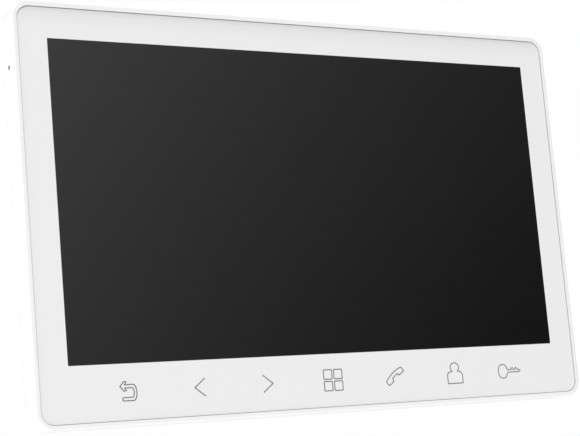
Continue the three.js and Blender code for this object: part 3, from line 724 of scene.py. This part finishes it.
def cover_blank():
    """The rear cover before it is cut: its visible edge, its brim and its hollow raised centre."""
    back, front = COVER.back, COVER.front
    flat = 4.0  # how far inside the raised centre's edge its flat back starts for certain
    thinning = 0.7  # how much nearer its slope the inside lies than a parallel wall
    bend, edge = 1.2, 1.5  # rounding of the raised centre and of the brim

    def centre(grow, z, soft=0.0):
        width, height = PLATEAU.width + 2 * grow, PLATEAU.height + 2 * grow
        return ring(width, height, PLATEAU.corner + grow / 2, z, soft)

    return loft_mesh("cover_shell", [
        ring(PLATEAU.width - 2 * flat, PLATEAU.height - 2 * flat, PLATEAU.corner - flat, back),
        centre(0.0, back, bend), centre(PLATEAU.slope, BRIM, bend),
        inset(COVER, 0.0, BRIM, edge), inset(COVER, 0.0, front - CHAMFER), inset(COVER, CHAMFER, front),
        inset(COVER, WALL, front), inset(COVER, WALL, BRIM + WALL),
        centre(PLATEAU.slope - thinning, BRIM + WALL), centre(-thinning, back + WALL),
    ], steps=20)


def back_openings():
    """Cutters for the connector bay, the slots for hooks and speaker, the vents and the screw recesses."""
    back, deep = COVER.back, WALL + 1
    cutters = [slot_cutter(BAY.x, BAY.y, BAY.width, BAY.height, back, deep, 0.5, BAY.corner)]
    for side in SIDES:
        for top in HOOK.tops:
            cutters.append(slot_cutter(
                side * HOOK.x, top - HOOK_SLOT.drop, HOOK_SLOT.width, HOOK_SLOT.height, back, deep,
                0.3, HOOK_SLOT.corner))
    speaker = span("speaker")
    for k in range(-SPEAKER_SLOTS.each_side, SPEAKER_SLOTS.each_side + 1):
        x = speaker.x + SPEAKER_SLOTS.pitch * k
        length = SPEAKER_SLOTS.length - SPEAKER_SLOTS.step * abs(k)
        cutters.append(slot_cutter(x, speaker.y, SPEAKER_SLOTS.width, length, back, deep))
    for k in range(VENTS.count):
        x = VENTS.first + VENTS.pitch * k
        cutters.append(slot_cutter(x, VENTS.y, VENTS.width, VENTS.length, back, deep))
    recess, bore, floor = 2.7, 1.4, BRIM + 1.2
    profile = [(recess + 0.6, BRIM - 0.3), (recess, BRIM + 0.3), (recess, floor), (bore, floor)]
    profile.append((bore, BRIM + 3))
    for side in SIDES:
        for y in SCREW_ROWS:
            cutters.append(turned_mesh("cutter", profile, ROUND_STEPS, at=(side * EDGE_X, y, 0.0)))
    return cutters


def side_openings():
    """Cutters for the microphone's hole on the left, and the card's and the switch's slots on the right."""
    left, near, far = COVER.left, COVER.right - 2.5, COVER.right + 0.5
    boot, card, gap = span("microphone_boot"), span("memory_card"), 0.3
    profile = [(1.3, left - 0.3), (1.0, left + 0.1), (1.0, left + 2.5)]
    return [
        turned_mesh("cutter", profile, ROUND_STEPS, axis="x", at=(0.0, boot.y, boot.z)),
        box_mesh("cutter", near, far, card.low - gap, card.high + gap, card.back - gap, card.front + gap),
        box_mesh("cutter", near, far, SWITCH_SLOT.low, SWITCH_SLOT.high, SWITCH_SLOT.back, SWITCH_SLOT.front),
    ]


def rear_cover():
    """The rear cover with every opening."""
    piece = cover_blank()
    combine(piece, back_openings() + side_openings(), "DIFFERENCE")
    place(piece, BODY, WHITE, "white_plastic", "rear_cover")


def microphone_mesh():
    """The black acoustic mesh just inside the microphone's hole."""
    boot, left = span("microphone_boot"), COVER.left
    profile = [(0.9, left + 0.14), (0.98, left + 0.2), (0.98, left + 1.4)]
    piece = turned_mesh("microphone_mesh", profile, ROUND_STEPS, axis="x", at=(0.0, boot.y, boot.z))
    place(piece, BODY, FOAM, "foam")


def screw_head(name, x, y, seat):
    """A pan head with a cross recess, its head towards the wall."""
    radius, low, tip = SCREW.radius, seat - SCREW.head, seat + SCREW.length
    head = turned_mesh(name, [
        (0.05, low), (radius * 0.72, low), (radius * 0.9, low + 0.12), (radius, low + 0.42), (radius, seat),
        (SCREW.shank, seat), (SCREW.shank, tip), (0.05, tip + 0.2),
    ], 36, at=(x, y, 0.0))
    taper = 0.55  # width of the recess at its floor, against its mouth
    for width, height in ((SCREW.cross, SCREW.arm), (SCREW.arm, SCREW.cross)):
        mouth = ring(width, height, 0.12, low - 0.2, x=x, y=y)
        floor = ring(width * taper, height * taper, 0.1, low + SCREW.cross_depth, x=x, y=y)
        combine(head, [loft_mesh("cutter", [mouth, floor], steps=3)], "DIFFERENCE")
    return head


def cover_screws():
    """The six screws that hold the cover, each seated in its recess."""
    seat = BRIM + 1.05
    places = [(side * EDGE_X, y) for side in SIDES for y in SCREW_ROWS]
    for number, (x, y) in enumerate(places, 1):
        piece = screw_head(f"cover_screw_head_{number}", x, y, seat)
        place(piece, BODY, SCREW_STEEL, "zinc_steel", f"cover_screw_{number}")


# ---------------------------------------------------------------- bracket

def strip(points, thickness, x0, x1):
    """A bent strip of sheet along a [y, z] route, between x0 and x1."""
    here = [Vector(p) for p in points]
    left, right = [], []
    for k, point in enumerate(here):
        run = (here[min(k + 1, len(here) - 1)] - here[max(k - 1, 0)]).normalized()
        side = Vector((-run.y, run.x)) * thickness / 2
        left.append(point + side)
        right.append(point - side)
    section = left + right[::-1]
    mesh = bmesh.new()
    near, far = [[mesh.verts.new(to_row((x, p.x, p.y))) for p in section] for x in (x0, x1)]
    mesh.faces.new(near)
    mesh.faces.new(far[::-1])
    for k in range(len(section)):
        j = (k + 1) % len(section)
        mesh.faces.new((near[k], near[j], far[j], far[k]))
    return finish_mesh("strip", mesh)


def hook_route(top):
    """A hook's [y, z] route: out of the sheet, round its bend and up behind the cover's slot."""
    middle = top - BRACKET_SHEET / 2
    tongue = 3.8 + BRACKET_SHEET / 2
    route = [(middle, 0.3), (middle, 2.6)]
    for k in range(1, 7):
        angle = math.radians(15 * k)
        route.append((middle + HOOK.bend * (1 - math.cos(angle)), tongue - HOOK.bend * (1 - math.sin(angle))))
    route.append((top + HOOK.reach, tongue))
    return route


def wall_bracket():
    """The stamped wall bracket: its sheet, its openings and the four bent hooks."""
    edge, deep = 0.15, BRACKET_SHEET + 1

    def level(cut, z):
        return ring(BRACKET.width - 2 * cut, BRACKET.height - 2 * cut, 6.0 - cut, z, y=BRACKET.y)

    piece = loft_mesh("bracket_sheet", [
        level(edge, 0.0), level(0.0, edge), level(0.0, BRACKET_SHEET - edge), level(edge, BRACKET_SHEET),
    ], steps=12)
    window = CABLE_WINDOW
    cutters = [slot_cutter(0.0, window.y, window.width, window.height, 0.0, deep, edge, window.corner)]
    hole = WALL_HOLES.width
    for y in WALL_HOLES.rows:
        for side in SIDES:
            cutters.append(slot_cutter(side * WALL_HOLES.x, y, hole, hole, 0.0, deep, 0.2))
    hooks = []
    half, clear, above = HOOK.width / 2, 0.5, 1.5  # what the stamping takes beside and above a hook
    for top in HOOK.tops:
        for side in SIDES:
            left, right = side * HOOK.x - half, side * HOOK.x + half
            high = top + HOOK.reach + above
            cutters.append(box_mesh(
                "cutter", left - clear, right + clear, top, high, -1.0, BRACKET_SHEET + 0.3))
            hooks.append(strip(hook_route(top), BRACKET_SHEET, left, right))
    combine(piece, cutters, "DIFFERENCE")
    combine(piece, hooks, "UNION")
    place(piece, "wall_bracket", ZINC, "bracket_steel", "wall_bracket")


# ---------------------------------------------------------------- connectors, card and switch

CONNECTORS = ("door_connector_1", "door_connector_2", "camera_connector_1", "camera_connector_2",
              "link_connector", "power_connector")


def header_housing(name, box):
    """A header's thin-walled housing, with two notches under it and its keyway above."""
    inner_width, inner_height = box.width - 2 * HEADER.wall, box.height - 2 * HEADER.wall
    edge = 0.15  # rounding of the rim
    shell = loft_mesh(f"{name}_housing", [
        ring(box.width, box.height, HEADER.corner, box.front, x=box.x, y=box.y),
        ring(box.width, box.height, HEADER.corner, box.back, edge, box.x, box.y),
        ring(inner_width, inner_height, HEADER.corner, box.back, edge, box.x, box.y),
        ring(inner_width, inner_height, HEADER.corner, box.front - HEADER.floor, x=box.x, y=box.y),
    ], steps=4)
    notches = []
    for side in SIDES:
        x = box.x + side * HEADER.notch_x
        half = HEADER.notch / 2
        notches.append(box_mesh(
            "cutter", x - half, x + half, box.low - 0.2, box.low + 1.0, box.back - 0.5, box.back + 2.6))
    half = HEADER.key / 2
    notches.append(box_mesh(
        "cutter", box.x - half, box.x + half, box.high - 1.0, box.high + 0.2, box.back - 0.5, box.back + 2.4))
    combine(shell, notches, "DIFFERENCE")
    return shell


def header_pins(name, box):
    """A header's row of square pins, each with a pointed end."""
    pitch = (box.width - 2 * HEADER.wall) / HEADER.pins
    foot = box.front - HEADER.floor + 0.05  # just inside the housing's floor
    pins = []
    for k in range(HEADER.pins):
        x = box.x + (k - (HEADER.pins - 1) / 2) * pitch
        pins.append(loft_mesh("pin", [
            ring(0.3, 0.3, 0.05, box.back + 0.8, x=x, y=box.y),
            ring(HEADER.pin, HEADER.pin, 0.06, box.back + 1.3, x=x, y=box.y),
            ring(HEADER.pin, HEADER.pin, 0.06, foot, x=x, y=box.y),
        ], steps=2))
    return joined(f"{name}_pins", pins)


def connectors():
    """The row of headers on the main board."""
    for name in CONNECTORS:
        box = span(name)
        place(header_housing(name, box), BODY, IVORY, "connector_ivory", name)
        place(header_pins(name, box), BODY, PIN_TIN, "zinc_steel")


def memory_card():
    """The memory card: a notched body with a thumb ridge, and its gold contacts."""
    box = span("memory_card")
    inner, outer, low, high = box.left, box.right, box.low, box.high
    edge, cut = 0.06, 0.5  # rounding of the edges, and the outer corners' slant
    body = prism_mesh("card_body", [
        (inner, low + 0.4), (inner + 0.4, low), (outer - cut, low), (outer, low + cut),
        (outer, high - cut), (outer - cut, high), (inner + 8, high), (inner + 7, high - 1.3),
        (inner + 0.8, high - 1.3), (inner, high - 2),
    ], box.back + 0.1, box.front)
    ridge_shape = outline(1.6, box.height - 1.0, 0.4, outer - 1.2, box.y, 4)
    ridge = prism_mesh("card_ridge", ridge_shape, box.back, box.back + 0.4)
    bevelled(body, edge)
    bevelled(ridge, edge)
    combine(body, [ridge], "UNION")
    place(body, "memory_card", BLACK, "black_plastic", "memory_card")
    pads = []
    for k in range(CARD_PADS.count):
        y = low + 1.4 + k * CARD_PADS.pitch
        pad = outline(CARD_PADS.length, CARD_PADS.width, 0.15, inner + 2.0, y, 2)
        pads.append(prism_mesh("pad", pad, box.front - 0.05, box.front))
    place(joined("card_contacts", pads), "memory_card", GOLD, "zinc_steel")


def power_switch():
    """The switch's knob: a foot behind the wall and a lever in the slot, with three ribs on its tip."""
    box = span("switch_knob")
    inside = COVER.right - WALL - 0.4  # the foot's face, just behind the wall
    foot = box_mesh("knob", box.left, inside, box.low, box.high, box.back, box.front)
    bevelled(foot, 0.15)
    rib_height, rib_pitch, rib_half = 0.25, 0.65, 0.2
    rib_back = box.right - 2 * rib_height
    lever = box_mesh(
        "lever", inside - 0.2, box.right - rib_height, box.y - 1.0, box.y + 1.0, box.z - 0.8, box.z + 0.8)
    bevelled(lever, 0.1)
    ribs = []
    for k in (-1, 0, 1):
        y = box.y + rib_pitch * k
        rib = box_mesh(
            "rib", rib_back, box.right, y - rib_half, y + rib_half, box.z - 0.75, box.z + 0.75)
        bevelled(rib, 0.08)
        ribs.append(rib)
    combine(foot, [lever, *ribs], "UNION")
    place(foot, "power_switch", BLACK, "black_plastic", "switch_knob")


# ---------------------------------------------------------------- CAD nodes that keep their shape

def carried_over():
    """Gives every CAD node that is still shown its finished material."""
    screws = tuple(f"{kind}_screw_{k}" for kind in ("board", "bracket") for k in range(1, 5))
    finishes = {
        PCB: ("main_board", "key_board", "lcd_driver_board", "card_board"),
        FILM: ("lcd_ribbon", "key_ribbon"),
        CHIP: ("processor",),
        ALUMINIUM: ("heat_sink", "capacitor", "microphone"),
        THIN_STEEL: ("lcd_tray", "lcd_bracket_left", "lcd_bracket_right", "shield_can", "card_socket",
                     "speaker"),
        SCREW_STEEL: screws,
        FOAM: ("panel_tape", "speaker_gasket"),
        SILICONE: ("lcd_backlight", *(f"key_pad_{name}" for name in KEYS)),
        DISPLAY: ("lcd_cell",),
        BLACK: ("speaker_cone", "speaker_lead", "microphone_lead", "switch_body"),
        RUBBER: ("microphone_boot",),
        LABEL: ("rating_label",),
    }
    for material, names in finishes.items():
        for name in names:
            for material_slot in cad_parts[name].material_slots:
                material_slot.material = material


# ---------------------------------------------------------------- studio

def room_light():
    """A white room: even soft light, with reflections that darken towards the lower right."""
    world = bpy.data.worlds.new("studio")
    world.use_nodes = True
    bpy.context.scene.world = world
    nodes, links = world.node_tree.nodes, world.node_tree.links
    nodes.clear()
    direction = nodes.new("ShaderNodeTexCoord").outputs["Generated"]

    def along(axis):
        dot = nodes.new("ShaderNodeVectorMath")
        dot.operation = "DOT_PRODUCT"
        dot.inputs[1].default_value = axis
        links.new(direction, dot.inputs[0])
        return dot.outputs["Value"]

    def feed(value, socket):
        if isinstance(value, float):
            socket.default_value = value
        else:
            links.new(value, socket)

    def maths(operation, first, second):
        node = nodes.new("ShaderNodeMath")
        node.operation = operation
        feed(first, node.inputs[0])
        feed(second, node.inputs[1])
        return node.outputs[0]

    def chosen(factor, without, with_it):
        node = nodes.new("ShaderNodeMix")
        feed(factor, node.inputs[0])
        feed(without, node.inputs[2])
        feed(with_it, node.inputs[3])
        return node.outputs[0]

    brightest = (-0.7364, -0.3232, 0.5944)  # direction from which the reflections are brightest
    level, slope, least = 0.566, 1.85, 0.15
    root = maths("ADD", maths("MULTIPLY", along(brightest), slope), level)
    root = maths("MINIMUM", maths("MAXIMUM", root, least), 1.0)
    mirror = maths("MULTIPLY", root, root)
    soft = maths("ADD", along((-0.2, -0.16, -0.35)), 1.19)
    path = nodes.new("ShaderNodeLightPath")
    lit = chosen(path.outputs["Is Glossy Ray"], soft, mirror)
    background = nodes.new("ShaderNodeBackground")
    background.inputs["Color"].default_value = grey(1.0)
    links.new(chosen(path.outputs["Is Camera Ray"], lit, 1.0), background.inputs["Strength"])
    output = nodes.new("ShaderNodeOutputWorld")
    links.new(background.outputs[0], output.inputs[0])


def lamp(name, at, size, watts):
    """A round soft lamp that points at the monitor and isn't seen itself."""
    data = bpy.data.lights.new(name, "AREA")
    data.shape = "DISK"
    data.size = size
    data.energy = watts
    made = bpy.data.objects.new(name, data)
    bpy.context.scene.collection.objects.link(made)
    made.location = at
    made.rotation_euler = (-Vector(at)).to_track_quat("-Z", "Y").to_euler()
    made.visible_glossy = False
    made.visible_camera = False


def studio():
    """The room, its two lamps and a pale floor well below the monitor."""
    room_light()
    lamp("side", (-2.6, -0.3, -0.1), 1.2, 15.0)
    lamp("under", (-0.2, -0.12, -1.15), 0.8, 5.5)
    floor = bpy.data.objects.new("floor", bpy.data.meshes.new("floor"))
    bpy.context.scene.collection.objects.link(floor)
    mesh = bmesh.new()
    under = Matrix.Translation((0.0, 0.0, -1.3))
    bmesh.ops.create_grid(mesh, x_segments=1, y_segments=1, size=30.0, matrix=under)
    mesh.to_mesh(floor.data)
    mesh.free()
    pale = Shade("floor_pale", grey(0.68), 0.9)
    pale.varied(0.01, 2.0)
    floor.data.materials.append(pale.material)


def camera():
    """The viewer's eye: to the left of the monitor and a little below it, close to it."""
    data = bpy.data.cameras.new("camera")
    made = bpy.data.objects.new("camera", data)
    bpy.context.scene.collection.objects.link(made)
    bpy.context.scene.camera = made
    data.sensor_width = 36.0
    data.lens = 91.138  # millimetres, on that sensor
    data.shift_y = 0.07586
    data.clip_start = 0.01
    data.clip_end = 50.0
    azimuth, elevation, roll = (math.radians(a) for a in (-28.262, -7.722, -4.907))
    target = Vector((-0.014772, -0.021, -0.020233))
    distance = 0.593203
    level = math.cos(elevation)
    away = Vector((math.sin(azimuth) * level, -math.cos(azimuth) * level, math.sin(elevation)))
    made.location = target + away * distance
    right = (-away).cross(Vector((0.0, 0.0, 1.0))).normalized()
    up = right.cross(-away)
    turned_right = right * math.cos(roll) + up * math.sin(roll)
    turned_up = up * math.cos(roll) - right * math.sin(roll)
    made.rotation_euler = Matrix((turned_right, turned_up, away)).transposed().to_euler()


# ---------------------------------------------------------------- the whole model

camera()
studio()
front_frame()
front_sheet()
key_symbols()
rear_cover()
microphone_mesh()
cover_screws()
wall_bracket()
connectors()
memory_card()
power_switch()
carried_over()

scene = bpy.context.scene
scene.view_settings.view_transform = "Standard"
scene.view_settings.look = "None"
